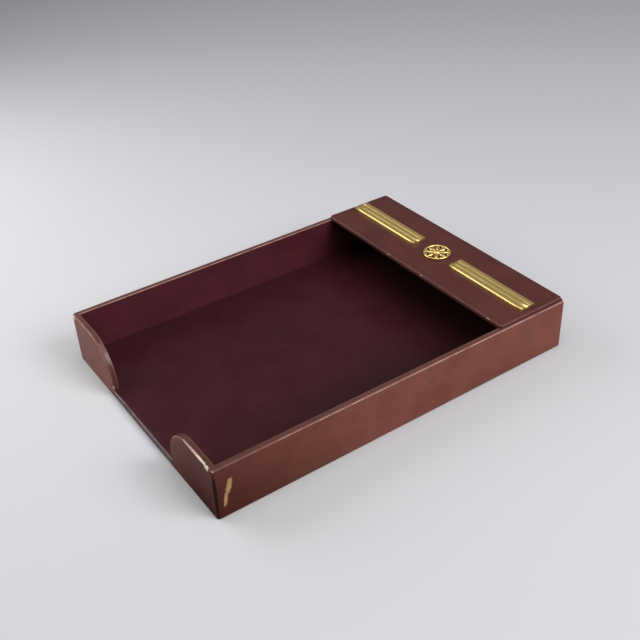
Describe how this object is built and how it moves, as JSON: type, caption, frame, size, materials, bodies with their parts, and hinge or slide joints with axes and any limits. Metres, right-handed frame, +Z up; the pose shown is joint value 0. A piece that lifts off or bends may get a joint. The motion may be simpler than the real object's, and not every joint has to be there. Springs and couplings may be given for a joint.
{
  "type": "desk tray",
  "caption": "Leather-covered desk tray for papers, open at the front between curved corner returns, with a half deck and brass mounts over the back.",
  "frame": {"origin": "centre of the tray's footprint, on the surface that it stands on", "axes": "+X across the tray to the right as seen from its open front, +Y along the tray towards the back, +Z up"},
  "size_m": [0.25, 0.35, 0.054],
  "materials": {
    "fibreboard": "plain medium-density fibreboard, never seen",
    "steel_pins": "bright drawn wire",
    "spring_steel": "oiled spring steel",
    "wall_leather": "smooth oxblood cowhide, semi-gloss, worn through to tan at edges",
    "deck_skin": "smooth burgundy cowhide, semi-gloss, tooled crease line",
    "wall_lining": "smooth dark wine lining leather, semi-gloss",
    "floor_skin": "smooth dark wine leather, soft sheen, front edge worn to tan",
    "lining_cloth": "matte dark lining cloth",
    "felt": "dark wool felt",
    "polished_brass": "polished yellow brass, lightly tarnished in the grooves"
  },
  "bodies": {
    "root": {"base_board": "fibreboard", "left_side_board": "fibreboard", "right_side_board": "fibreboard", "back_board": "fibreboard", "left_return_board": "fibreboard", "right_return_board": "fibreboard", "deck_board": "fibreboard", "base_pins": "steel_pins", "corner_pins": "steel_pins", "base_pad": "felt", "left_side_leather": "wall_leather", "right_side_leather": "wall_leather", "back_leather": "wall_leather", "left_return_leather": "wall_leather", "right_return_leather": "wall_leather", "left_side_lining": "wall_lining", "right_side_lining": "wall_lining", "back_lining": "wall_lining", "left_return_lining": "wall_lining", "right_return_lining": "wall_lining", "floor_lining": "floor_skin", "deck_leather": "deck_skin", "deck_lining": "lining_cloth", "left_reeded_bar": "polished_brass", "right_reeded_bar": "polished_brass", "rosette": "polished_brass", "stud_washers": "spring_steel"}
  },
  "joints": []
}
